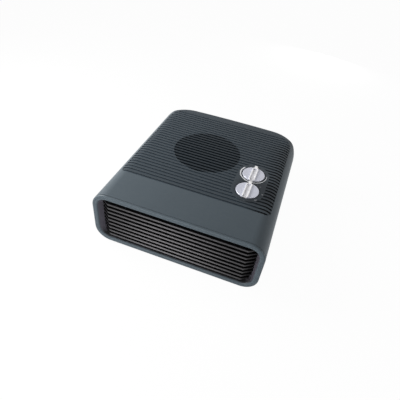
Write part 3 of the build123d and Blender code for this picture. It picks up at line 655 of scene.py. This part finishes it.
@dataclass(frozen=True)
class SilverPaint:
    """A metallic paint on a knob: fine flakes under a clear coat, painted highlights on the grip's ridges and
    edges, and painted light in the grip channel.
    """

    name: str
    colour: Colour
    knob_edge_highlight_colour: Colour
    ridge_highlight_colour: Colour
    channel_light_colour: Colour
    axis_x: float
    face_height: float
    tone_shift: float = 0.05
    grain_size: float = 0.25 * MILLIMETRE
    patch_size: float = 8 * MILLIMETRE
    flake_height: float = 0.01 * MILLIMETRE
    flake_strength: float = 0.1
    roughness: float = 0.36
    roughness_spread: float = 0.08
    metallic: float = 0.35
    coat: float = 0.15
    edge_radius: float = 0.4 * MILLIMETRE
    edge_amount: float = 0.7
    edge_patch: float = 30 * MILLIMETRE
    ridge_start: float = 0.5 * MILLIMETRE
    ridge_full: float = 1.5 * MILLIMETRE
    channel_half: float = 3.0 * MILLIMETRE
    channel_drop: float = 0.1 * MILLIMETRE

    def make(self, shelf: EffectShelf) -> Material:
        """Builds the material.

        Args:
            shelf: The shared node groups.

        Returns:
            The material.
        """
        sheet = MaterialSheet(self.name, shelf)
        grain = sheet.grain(self)
        edge_highlight = sheet.effect(Effect.EDGE_HIGHLIGHT_WEAR, Radius=self.edge_radius, Amount=self.edge_amount,
                            Patch_Size=self.edge_patch)
        axes = sheet.axes()
        ridge = sheet.ramp(axes["Z"], self.face_height + self.ridge_start, self.face_height + self.ridge_full)
        aside = sheet.reckon("ABSOLUTE", sheet.reckon("SUBTRACT", axes["X"], self.axis_x))
        between = sheet.reckon("LESS_THAN", aside, self.channel_half)
        below = sheet.reckon("LESS_THAN", axes["Z"], self.face_height - self.channel_drop)
        channel = sheet.reckon("MULTIPLY", between, below)
        # Painted light in the grip channel, against its shade.
        channel_lit = sheet.mix(channel, grain["Colour"], self.channel_light_colour)
        # Painted highlight on the grip's ridges.
        raised = sheet.mix(ridge, channel_lit, self.ridge_highlight_colour)
        # Painted highlight along the edges, broken up like wear.
        edged = sheet.mix(edge_highlight["Mask"], raised, self.knob_edge_highlight_colour)
        normal = sheet.bump(grain["Height"], self.flake_height, self.flake_strength)
        return sheet.finish(Base_Color=edged, Roughness=grain["Roughness"], Normal=normal,
                            Metallic=self.metallic, Coat_Weight=self.coat)


@dataclass(frozen=True)
class DrawnMetal:
    """A bare metal with the fine lines of rolling, drawing or turning."""

    name: str
    colour: Colour
    stretch: Place
    line_pitch: float = 0.4 * MILLIMETRE
    line_height: float = 0.01 * MILLIMETRE
    line_strength: float = 0.15
    tone_shift: float = 0.12
    roughness: float = 0.35
    roughness_spread: float = 0.1

    def make(self, shelf: EffectShelf) -> Material:
        """Builds the material.

        Args:
            shelf: The shared node groups.

        Returns:
            The material.
        """
        sheet = MaterialSheet(self.name, shelf)
        lines = sheet.effect(Effect.LINES, Colour=self.colour, Tone_Shift=self.tone_shift,
                             Line_Pitch=self.line_pitch, Stretch=self.stretch,
                             Roughness=self.roughness, Roughness_Spread=self.roughness_spread)
        normal = sheet.bump(lines["Height"], self.line_height, self.line_strength)
        return sheet.finish(Base_Color=lines["Colour"], Roughness=lines["Roughness"], Normal=normal,
                            Metallic=1.0)


@dataclass(frozen=True)
class CopperWinding:
    """Enamelled wire laid turn by turn along the coil."""

    name: str
    colour: Colour
    gap_colour: Colour
    turns_per_metre: float = 1400.0
    waviness: float = 0.4
    wire_height: float = 0.2 * MILLIMETRE
    wire_strength: float = 0.8
    tone_shift: float = 0.1
    grain_size: float = 1.0 * MILLIMETRE
    patch_size: float = 12 * MILLIMETRE
    roughness: float = 0.35
    roughness_spread: float = 0.08
    metallic: float = 0.6

    def make(self, shelf: EffectShelf) -> Material:
        """Builds the material.

        Args:
            shelf: The shared node groups.

        Returns:
            The material.
        """
        sheet = MaterialSheet(self.name, shelf)
        laying = {"Vector": sheet.place(), "Scale": self.turns_per_metre / math.tau,
                  "Distortion": self.waviness}
        wires = sheet.add("ShaderNodeTexWave", laying, wave_type="BANDS", bands_direction="X").outputs["Fac"]
        grain = sheet.grain(self)
        laid = sheet.mix(wires, self.gap_colour, grain["Colour"])
        normal = sheet.bump(wires, self.wire_height, self.wire_strength)
        return sheet.finish(Base_Color=laid, Roughness=grain["Roughness"], Normal=normal,
                            Metallic=self.metallic)


@dataclass(frozen=True)
class PrintedInk:
    """A thin dial print with the slight unevenness of pad printing."""

    name: str
    colour: Colour
    faded_colour: Colour
    tone_shift: float = 0.06
    grain_size: float = 0.3 * MILLIMETRE
    patch_size: float = 6 * MILLIMETRE
    roughness: float = 0.45
    roughness_spread: float = 0.06
    fade_amount: float = 0.1
    fade_patch: float = 4 * MILLIMETRE

    def make(self, shelf: EffectShelf) -> Material:
        """Builds the material.

        Args:
            shelf: The shared node groups.

        Returns:
            The material.
        """
        sheet = MaterialSheet(self.name, shelf)
        grain = sheet.grain(self)
        fade = sheet.effect(Effect.DUST_AND_SHADE, Amount=self.fade_amount, Patch_Size=self.fade_patch)
        faded = sheet.mix(fade["Mask"], grain["Colour"], self.faded_colour)
        return sheet.finish(Base_Color=faded, Roughness=grain["Roughness"])


GrainedFinish = MouldedPlastic | SilverPaint | CopperWinding | PrintedInk


class Finishes:
    """Every finish of the heater, built once and looked up by its record slot."""

    # Each moulded plastic's second colour is a painted highlight along its edges.
    SLOTS = {
        "casing": MouldedPlastic("slate_casing", CASING_COLOUR, CASING_EDGE_HIGHLIGHT, roughness=0.42),
        "cover": RibbedPlastic("dark_slate_cover", COVER_COLOUR, display_colour(62, 71, 79), roughness=0.42,
                               # Flat grooves painted paler against their shade, side grooves painted black as
                               # shade.
                               flat_groove_light_colour=display_colour(56, 65, 73),
                               side_groove_shade_colour=display_colour(6, 8, 11),
                               # Painted shade in the round intake.
                               intake_shade_colour=display_colour(22, 31, 38),
                               intake_centre=(joint_place("fan_spin").x, joint_place("fan_spin").y, 0.0),
                               intake_radius=56.7 * MILLIMETRE,
                               corner_rear=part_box("ribbed_cover")[1].y - 10 * MILLIMETRE,
                               # Painted shade on the patch by the knobs.
                               knob_shade_colour=display_colour(34, 40, 46), knob_shade_centre=(0.086, -0.042, 0.0),
                               knob_shade_near=0.024, knob_shade_far=0.04),
        "grille": SlatPlastic("grey_grille", display_colour(58, 57, 59), display_colour(70, 69, 71),
                              roughness=0.36, patch_size=60 * MILLIMETRE,
                              # Painted shade on the slats behind their front, darkest on faces that look up.
                              recess_shade_colour=display_colour(30, 29, 31),
                              upward_shade_colour=display_colour(12, 12, 13),
                              recess_front=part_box("outlet_grille")[0].y + 0.3 * MILLIMETRE,
                              # The paler middle colour is a painted highlight on the slats.
                              recess_reach=1.2 * MILLIMETRE, slat_highlight_colour=display_colour(106, 104, 106),
                              slat_highlight_centre=(-0.008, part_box("outlet_grille")[0].y, 0.02),
                              slat_highlight_near=0.01, slat_highlight_far=0.115),
        # The paler edge, ridge and channel colours are painted highlights and painted light.
        "knob": SilverPaint("silver_paint", display_colour(201, 203, 215), display_colour(252, 252, 252),
                            ridge_highlight_colour=display_colour(244, 243, 243),
                            channel_light_colour=display_colour(226, 225, 228),
                            axis_x=joint_place("selector_turn").x,
                            face_height=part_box("ribbed_cover")[1].z + 1.0 * MILLIMETRE),
        "foot": MouldedPlastic("rubber_foot", display_colour(38, 38, 40), display_colour(52, 52, 54),
                               roughness=0.75, grain_size=0.8 * MILLIMETRE, grain_height=0.06 * MILLIMETRE,
                               specular=0.25),
        "blower": MouldedPlastic("black_blower", display_colour(34, 34, 36), display_colour(50, 50, 52),
                                 roughness=0.55),
        "steel": DrawnMetal("zinc_plated_steel", display_colour(190, 191, 194), (1.0, 8.0, 8.0)),
        "core": DrawnMetal("laminated_core", display_colour(120, 121, 124), (0.2, 0.2, 6.0), roughness=0.5),
        "winding": CopperWinding("enamelled_wire", display_colour(176, 92, 44), display_colour(70, 30, 14)),
        "bearing": DrawnMetal("sintered_bronze", display_colour(188, 150, 96), (1.0, 1.0, 1.0),
                              roughness=0.5),
        "aluminium": DrawnMetal("rolled_aluminium", display_colour(205, 206, 208), (1.0, 12.0, 1.0),
                                roughness=0.3),
        "stone": MouldedPlastic("fired_stone", display_colour(112, 106, 100), display_colour(140, 134, 126),
                                roughness=0.7, grain_size=0.7 * MILLIMETRE, grain_height=0.05 * MILLIMETRE),
        "terminal": DrawnMetal("plain_brass", display_colour(204, 176, 108), (1.0, 10.0, 1.0)),
        "moulded_insulation": MouldedPlastic("dark_insulation", display_colour(44, 41, 40),
                                             display_colour(64, 60, 58), roughness=0.35),
    }

    NODES = {
        "front_bezel": RecessedPlastic("slate_lip", CASING_COLOUR, CASING_EDGE_HIGHLIGHT, roughness=0.42,
                                       # Wider painted highlight along the lip's edges.
                                       edge_radius=0.9 * MILLIMETRE, edge_amount=1.2,
                                       # The mouth's walls behind the front get a painted purplish tone for their
                                       # shade, with darker painted shade on faces that look up.
                                       recess_shade_colour=display_colour(80, 78, 86),
                                       upward_shade_colour=display_colour(18, 18, 20),
                                       recess_front=CAD_BOX[0].y + 1.2 * MILLIMETRE,
                                       recess_reach=2.0 * MILLIMETRE),
        "upper_casing": RimmedPlastic("slate_casing_top", CASING_COLOUR, CASING_EDGE_HIGHLIGHT, roughness=0.42,
                                      # Wider painted highlight along the casing's edges.
                                      edge_radius=0.9 * MILLIMETRE, edge_amount=1.2,
                                      rim_colour=COVER_COLOUR,
                                      rim_front=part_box("ribbed_cover")[1].y - 14 * MILLIMETRE,
                                      rim_reach=8 * MILLIMETRE,
                                      rim_floor=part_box("upper_casing")[1].z - 12 * MILLIMETRE),
    }

    def __init__(self, shelf: EffectShelf) -> None:
        """Builds the materials of all slots, and those of nodes with a finish of their own.

        Args:
            shelf: The shared node groups.
        """
        self.by_slot = {slot: finish.make(shelf) for slot, finish in self.SLOTS.items()}
        self.by_node = {node: finish.make(shelf) for node, finish in self.NODES.items()}
        self.slot_of = {part["node"]: part["material_slot"] for part in frame["record"]["subparts"]}

    def dress(self, *names: str) -> None:
        """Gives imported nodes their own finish, or else that of their record slot.

        Args:
            names: The nodes' names.
        """
        for name in names:
            material = self.by_node.get(name, self.by_slot[self.slot_of[name]])
            coat(frame["nodes"][name], material)
            log.info("dressed %s as %s", name, material.name)


def coat(piece: Piece, material: Material) -> None:
    """Puts one material on all of a piece.

    Args:
        piece: The piece.
        material: The material.
    """
    if not piece.material_slots:
        piece.data.materials.append(material)
    for slot in piece.material_slots:
        slot.material = material


def link_piece(name: str, mesh: bpy.types.Mesh) -> Piece:
    """Puts a mesh into the scene.

    Args:
        name: The piece's name.
        mesh: The piece's mesh.

    Returns:
        The new piece.
    """
    piece = bpy.data.objects.new(name, mesh)
    bpy.context.scene.collection.objects.link(piece)
    return piece


def mesh_piece(name: str, work: bmesh.types.BMesh) -> Piece:
    """Turns a finished working mesh into a piece of the scene.

    Args:
        name: The piece's name.
        work: The working mesh, which is freed.

    Returns:
        The new piece.
    """
    mesh = bpy.data.meshes.new(name)
    work.to_mesh(mesh)
    work.free()
    return link_piece(name, mesh)


def raised_print(name: str, outlines: Iterable[Outline], thickness: float) -> Piece:
    """Makes a thin closed print on the cover from plan outlines.

    Args:
        name: The piece's name.
        outlines: One plan outline for each island of ink, counter-clockwise, in metres.
        thickness: Thickness of the ink.

    Returns:
        The new piece.
    """
    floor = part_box("ribbed_cover")[1].z
    work = bmesh.new()
    for outline in outlines:
        low = [work.verts.new((x, y, floor)) for x, y in outline]
        high = [work.verts.new((x, y, floor + thickness)) for x, y in outline]
        work.faces.new(high)
        work.faces.new(list(reversed(low)))
        for k in range(len(outline)):
            following = (k + 1) % len(outline)
            work.faces.new((low[k], low[following], high[following], high[k]))
    return mesh_piece(name, work)


def around(centre: Vector, turn: float, radius: float) -> tuple[float, float]:
    """Gives the plan place at a radius from a dial's axis, turned in degrees clockwise from the rear."""
    angle = math.radians(turn)
    return (centre.x + radius * math.sin(angle), centre.y + radius * math.cos(angle))


@dataclass(frozen=True)
class GripToe:
    """The sloped foot of a knob's grip channel, in the notch of the knob's rim."""

    name: str
    joint: str
    body: Body
    material: Material
    half_width: float = 2.85 * MILLIMETRE
    inner_reach: float = 12.6 * MILLIMETRE
    bend_reach: float = 14.0 * MILLIMETRE
    rim_radius: float = 17.6 * MILLIMETRE
    inner_drop: float = 2.35 * MILLIMETRE
    rim_drop: float = 3.3 * MILLIMETRE
    under_drop: float = 4.1 * MILLIMETRE
    columns: int = 9

    def build(self) -> Piece:
        """Makes the foot as a closed mesh whose outer end follows the knob's rim.

        Returns:
            The new piece.
        """
        centre = joint_place(self.joint)
        top = CAD_BOX[1].z
        work = bmesh.new()
        loops = []
        for k in range(self.columns):
            x = self.half_width * (2 * k / (self.columns - 1) - 1)
            rim = math.sqrt(self.rim_radius**2 - x**2)
            section = ((self.inner_reach, self.inner_drop), (self.bend_reach, self.inner_drop),
                       (rim, self.rim_drop), (rim, self.under_drop), (self.inner_reach, self.under_drop))
            loops.append([work.verts.new((centre.x + x, centre.y - reach, top - drop))
                          for reach, drop in section])
        for first, second in zip(loops, loops[1:]):
            for k in range(len(first)):
                following = (k + 1) % len(first)
                work.faces.new((first[k], first[following], second[following], second[k]))
        work.faces.new(loops[0][::-1])
        work.faces.new(loops[-1])
        bmesh.ops.recalc_face_normals(work, faces=work.faces)
        toe = mesh_piece(self.name, work)
        coat(toe, self.material)
        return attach(toe, self.body.value)


@dataclass
class ThermostatDial:
    """The thermostat's knob, spindle and body, and the tapered scale printed round the knob."""

    finishes: Finishes
    ink: Material
    joint: str = "thermostat_turn"
    scale_radius: float = 21.3 * MILLIMETRE
    wide_end: float = 2.3 * MILLIMETRE
    narrow_end: float = 0.7 * MILLIMETRE
    wide_turn: float = -54.0
    narrow_turn: float = -280.0
    ink_thickness: float = 0.06 * MILLIMETRE
    steps: int = 72

    def build(self) -> list[Piece]:
        """Makes the grip's foot and the scale, whose width shrinks from its hot end to its cool end.

        Returns:
            The foot and the printed scale.
        """
        toe = GripToe("thermostat_toe", self.joint, Body.THERMOSTAT, self.finishes.by_slot["knob"]).build()
        centre = joint_place(self.joint)
        outer: Outline = []
        inner: Outline = []
        for k in range(self.steps + 1):
            share = k / self.steps
            turn = self.wide_turn + share * (self.narrow_turn - self.wide_turn)
            half = (self.wide_end + share * (self.narrow_end - self.wide_end)) / 2
            outer.append(around(centre, turn, self.scale_radius + half))
            inner.append(around(centre, turn, self.scale_radius - half))
        scale = raised_print("thermostat_scale", [outer + inner[::-1]], self.ink_thickness)
        coat(scale, self.ink)
        return [toe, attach(scale, Body.CASING.value)]

    def dress(self) -> None:
        """Gives the control's own pieces their finishes."""
        self.finishes.dress("thermostat_knob", "thermostat_spindle", "thermostat_body")


@dataclass
class SelectorDial:
    """The selector's knob, spindle and switch, and the plain marks at its three working places."""

    finishes: Finishes
    ink: Material
    joint: str = "selector_turn"
    mark_radius: float = 23.2 * MILLIMETRE
    mark_length: float = 2.6 * MILLIMETRE
    bar_width: float = 0.7 * MILLIMETRE
    bar_pitch: float = 1.6 * MILLIMETRE
    bar_counts: tuple[int, ...] = (1, 2, 3)
    step_turn: float = 45.0
    ink_thickness: float = 0.06 * MILLIMETRE

    def build(self) -> list[Piece]:
        """Makes the grip's foot, and one, two and three bars beside the working places.

        Returns:
            The foot and the printed marks.
        """
        toe = GripToe("selector_toe", self.joint, Body.SELECTOR, self.finishes.by_slot["knob"]).build()
        centre = joint_place(self.joint)
        bars: list[Outline] = []
        for count in self.bar_counts:
            for k in range(count):
                offset = (k - (count - 1) / 2) * self.bar_pitch
                bars.append(self._bar(centre, count * self.step_turn, offset))
        marks = raised_print("selector_marks", bars, self.ink_thickness)
        coat(marks, self.ink)
        return [toe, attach(marks, Body.CASING.value)]

    def _bar(self, centre: Vector, turn: float, offset: float) -> Outline:
        """Gives the outline of one radial bar.

        Args:
            centre: The dial's axis.
            turn: Degrees clockwise from the rear.
            offset: Sideways move of the bar.

        Returns:
            The bar's plan outline.
        """
        half = self.bar_width / 2
        length = self.mark_length / 2
        spin = Matrix.Rotation(-math.radians(turn), 2)
        outline: Outline = []
        for across, along in ((-half, -length), (half, -length), (half, length), (-half, length)):
            place = spin @ Vector((offset + across, along + self.mark_radius))
            outline.append((centre.x + place.x, centre.y + place.y))
        return outline

    def dress(self) -> None:
        """Gives the control's own pieces their finishes."""
        self.finishes.dress("selector_knob", "rotary_switch_spindle", "rotary_switch_body")
        self.finishes.dress("control_bracket", "control_nuts", "bracket_screws")


@dataclass
class Shell:
    """The casing mouldings, the cover, the feet and the casing screws."""

    finishes: Finishes

    def dress(self) -> None:
        """Gives the shell its finishes."""
        self.finishes.dress("base_tray", "upper_casing", "front_bezel", "ribbed_cover", "feet",
                            "casing_screws")


@dataclass
class Outlet:
    """The outlet grille and the ceramic element behind it."""

    finishes: Finishes

    def dress(self) -> None:
        """Gives the outlet and the element their finishes."""
        self.finishes.dress("outlet_grille", "outlet_duct", "element_frame", "element_fins", "ceramic_stones")
        self.finishes.dress("element_terminals", "thermal_cutout", "thermal_fuse")


@dataclass
class Blower:
    """The scroll, the wheel and the motor under the intake."""

    finishes: Finishes

    def dress(self) -> None:
        """Gives the blower and its motor their finishes."""
        self.finishes.dress("blower_scroll", "blower_inlet_plate", "blower_screws", "impeller")
        self.finishes.dress("motor_shaft", "motor_rotor", "motor_stator", "motor_coil", "motor_bearings")
        self.finishes.dress("motor_upper_bracket", "motor_lower_bracket", "motor_screws")


@dataclass
class SupplyEntry:
    """The gland in the rear wall and the clamp and terminals behind it."""

    finishes: Finishes

    def dress(self) -> None:
        """Gives the supply entry its finishes."""
        self.finishes.dress("cord_gland", "gland_nut", "cord_clamp", "clamp_screws", "terminal_block")


@dataclass(frozen=True)
class SoftLamp:
    """A square soft lamp that faces the heater."""

    name: Lamp
    place: Place
    aim: Place
    size: float
    power: float
    mirrored: bool = True

    def build(self) -> None:
        """Makes the lamp."""
        data = bpy.data.lights.new(self.name.value, "AREA")
        data.size = self.size
        data.energy = self.power
        lamp = bpy.data.objects.new(self.name.value, data)
        lamp.location = self.place
        lamp.rotation_euler = (Vector(self.aim) - Vector(self.place)).to_track_quat("-Z", "Y").to_euler()
        lamp.visible_glossy = self.mirrored
        bpy.context.scene.collection.objects.link(lamp)


@dataclass(frozen=True)
class Studio:
    """A pale floor, a white surround, soft lamps and the photograph's camera."""

    lamps: tuple[SoftLamp, ...] = (
        SoftLamp(Lamp.KEY, (-0.65, -0.08, 0.46), (0.0, 0.0, 0.06), 0.4, 8.4),
        SoftLamp(Lamp.FRONT, (-0.12, -0.62, 0.12), (-0.03, -0.15, 0.05), 0.25, 2.0),
        SoftLamp(Lamp.RIGHT, (0.9, -0.1, 0.05), (0.1, 0.0, 0.05), 0.4, 3.4),
        SoftLamp(Lamp.REAR, (0.15, 0.95, 0.03), (0.0, 0.15, 0.03), 0.08, 4.0, mirrored=False),
    )
    surround_level: float = 0.15
    floor_size: float = 6.0
    floor_share: float = 0.97
    floor_colour: Colour = display_colour(244, 244, 244)
    azimuth: float = 14.36
    elevation: float = 42.24
    roll: float = 7.77
    distance: float = 578.18 * MILLIMETRE
    target: Place = (4.28 * MILLIMETRE, -49.71 * MILLIMETRE, 49.2 * MILLIMETRE)
    focal_pixels: float = 353.2
    image_pixels: int = 400
    sensor_width: float = 36.0
    near_clip: float = 10 * MILLIMETRE

    def build(self) -> None:
        """Makes the floor, the surround, the lamps and the camera."""
        self._floor()
        self._surround()
        for lamp in self.lamps:
            lamp.build()
        self._camera()

    @staticmethod
    def _seen_directly(sheet: NodeSheet) -> Socket:
        """Gives 1 for camera, glossy and transmission rays.

        Args:
            sheet: The nodes to add to.

        Returns:
            The mask's socket.
        """
        path = sheet.add("ShaderNodeLightPath").outputs
        mirrored = sheet.reckon("MAXIMUM", path["Is Glossy Ray"], path["Is Transmission Ray"])
        return sheet.reckon("MAXIMUM", path["Is Camera Ray"], mirrored)

    def _floor(self) -> None:
        """Makes a pale floor that shows white and keeps a faint shadow."""
        half = self.floor_size / 2
        corners = [(-half, -half, 0), (half, -half, 0), (half, half, 0), (-half, half, 0)]
        mesh = bpy.data.meshes.new("floor")
        mesh.from_pydata(corners, [], [(0, 1, 2, 3)])
        floor = link_piece("floor", mesh)
        material = bpy.data.materials.new("pale_floor")
        material.use_nodes = True
        sheet = NodeSheet(material.node_tree)
        plain = sheet.add("ShaderNodeBsdfDiffuse", {"Color": self.floor_colour}).outputs["BSDF"]
        white = sheet.add("ShaderNodeEmission", {"Color": WHITE, "Strength": 1.0}).outputs["Emission"]
        share = sheet.reckon("MULTIPLY", self._seen_directly(sheet), self.floor_share)
        blend = sheet.add("ShaderNodeMixShader", {0: share, 1: plain, 2: white})
        sheet.add("ShaderNodeOutputMaterial", {"Surface": blend.outputs["Shader"]})
        coat(floor, material)

    def _surround(self) -> None:
        """Makes a surround that shows white and lights the heater at a plain level."""
        world = bpy.data.worlds.new("white_surround")
        world.use_nodes = True
        sheet = NodeSheet(world.node_tree)
        level = self.surround_level
        colour = sheet.mix(self._seen_directly(sheet), (level, level, level, 1.0), WHITE)
        background = sheet.add("ShaderNodeBackground", {"Color": colour, "Strength": 1.0})
        sheet.add("ShaderNodeOutputWorld", {"Surface": background.outputs["Background"]})
        bpy.context.scene.world = world

    def _camera(self) -> None:
        """Makes the camera at the photograph's view."""
        turn, rise, lean = (math.radians(a) for a in (self.azimuth, self.elevation, self.roll))
        right = Vector((math.cos(turn), math.sin(turn), 0.0))
        back = Vector((math.sin(turn) * math.cos(rise), -math.cos(turn) * math.cos(rise), math.sin(rise)))
        up = back.cross(right)
        across = math.cos(lean) * right + math.sin(lean) * up
        upward = math.cos(lean) * up - math.sin(lean) * right
        data = bpy.data.cameras.new("photo_camera")
        data.sensor_width = self.sensor_width
        data.lens = self.focal_pixels / self.image_pixels * self.sensor_width
        data.clip_start = self.near_clip
        camera = bpy.data.objects.new("photo_camera", data)
        camera.matrix_world = Matrix((across, upward, back)).transposed().to_4x4()
        camera.location = Vector(self.target) + self.distance * back
        bpy.context.scene.collection.objects.link(camera)
        bpy.context.scene.camera = camera


def main() -> None:
    """Builds and dresses the heater, then sets up the studio."""
    bpy.context.scene.view_settings.view_transform = "Standard"
    shelf = EffectShelf()
    finishes = Finishes(shelf)
    silver = PrintedInk("silver_print", display_colour(226, 227, 230), display_colour(196, 196, 198))
    grey = PrintedInk("grey_print", display_colour(118, 118, 122), display_colour(100, 100, 104))
    for dial in (ThermostatDial(finishes, silver.make(shelf)), SelectorDial(finishes, grey.make(shelf))):
        for piece in dial.build():
            log.info("built %s", piece.name)
        dial.dress()
    for assembly in (Shell(finishes), Outlet(finishes), Blower(finishes), SupplyEntry(finishes)):
        assembly.dress()
    Studio().build()


if __name__ == "__main__":
    main()
